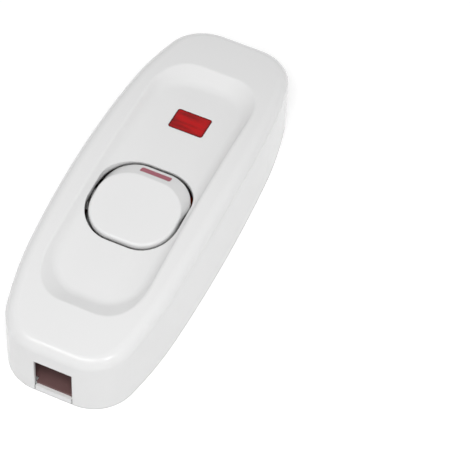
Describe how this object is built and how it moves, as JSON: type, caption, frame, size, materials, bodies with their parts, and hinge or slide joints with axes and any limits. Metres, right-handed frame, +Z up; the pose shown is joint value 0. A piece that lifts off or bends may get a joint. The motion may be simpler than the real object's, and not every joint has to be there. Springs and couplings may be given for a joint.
{
  "type": "inline cord switch",
  "caption": "White moulded inline switch for a lamp cord: crowned long body, sunk trough with a tilting rocker and a red lamp lens, and a square cord inlet at each end.",
  "frame": {"origin": "middle of the flat back, at the bottom of the part", "axes": "+X across the body, +Y along the cord towards the lens end, +Z up out of the rocker face"},
  "size_m": [0.0388, 0.105, 0.0232],
  "materials": {
    "white_abs": "glossy moulded",
    "white_abs_rocker": "glossy moulded",
    "red_mark": "satin inlay",
    "red_fibre": "vulcanised fibre sheet",
    "nylon": "natural nylon",
    "spring_steel": "drawn wire",
    "brass": "stamped",
    "silver": "riveted contact",
    "zinc_steel": "zinc plated",
    "grey_nylon": "moulded",
    "red_lens": "clear red moulded",
    "lamp_glass": "clear",
    "resistor_coat": "coated",
    "tinned_wire": "tinned"
  },
  "bodies": {
    "housing": {"cover": "white_abs", "base_plate": "white_abs", "insulating_liner": "red_fibre", "line_in_terminal": "brass", "line_out_terminal": "brass", "fixed_contact_tip": "silver", "neutral_link": "brass", "terminal_screws": "zinc_steel", "clamp_screws": "zinc_steel", "cover_screws": "zinc_steel", "cord_clamp_near": "grey_nylon", "cord_clamp_far": "grey_nylon", "lens": "red_lens", "neon_lamp": "lamp_glass", "lamp_resistor": "resistor_coat", "lamp_leads": "tinned_wire"},
    "rocker": {"rocker": "white_abs_rocker", "rocker_mark": "red_mark", "plunger_spring": "spring_steel"},
    "plunger": {"plunger": "nylon"},
    "moving_contact": {"moving_contact": "brass", "moving_contact_tip": "silver"}
  },
  "joints": [
    {"name": "rocker_tilt", "type": "hinge", "parent": "housing", "child": "rocker", "pos_m": [0, -0.00735, 0.0176], "axis": [-1, 0, 0], "range_deg": [0, 13]},
    {"name": "plunger_slide", "type": "slide", "parent": "rocker", "child": "plunger", "axis": [0, -0.1132, 0.9936], "range_m": [0, 0.001], "stiffness_N_per_m": 300, "springref_m": -0.003, "deforming": ["plunger_spring"]},
    {"name": "contact_tilt", "type": "hinge", "parent": "housing", "child": "moving_contact", "pos_m": [0, -0.00735, 0.0066], "axis": [-1, 0, 0], "range_deg": [-13, 0]}
  ],
  "couplings": [
    {"joint": "contact_tilt", "follows": "rocker_tilt", "ratio": -1}
  ]
}
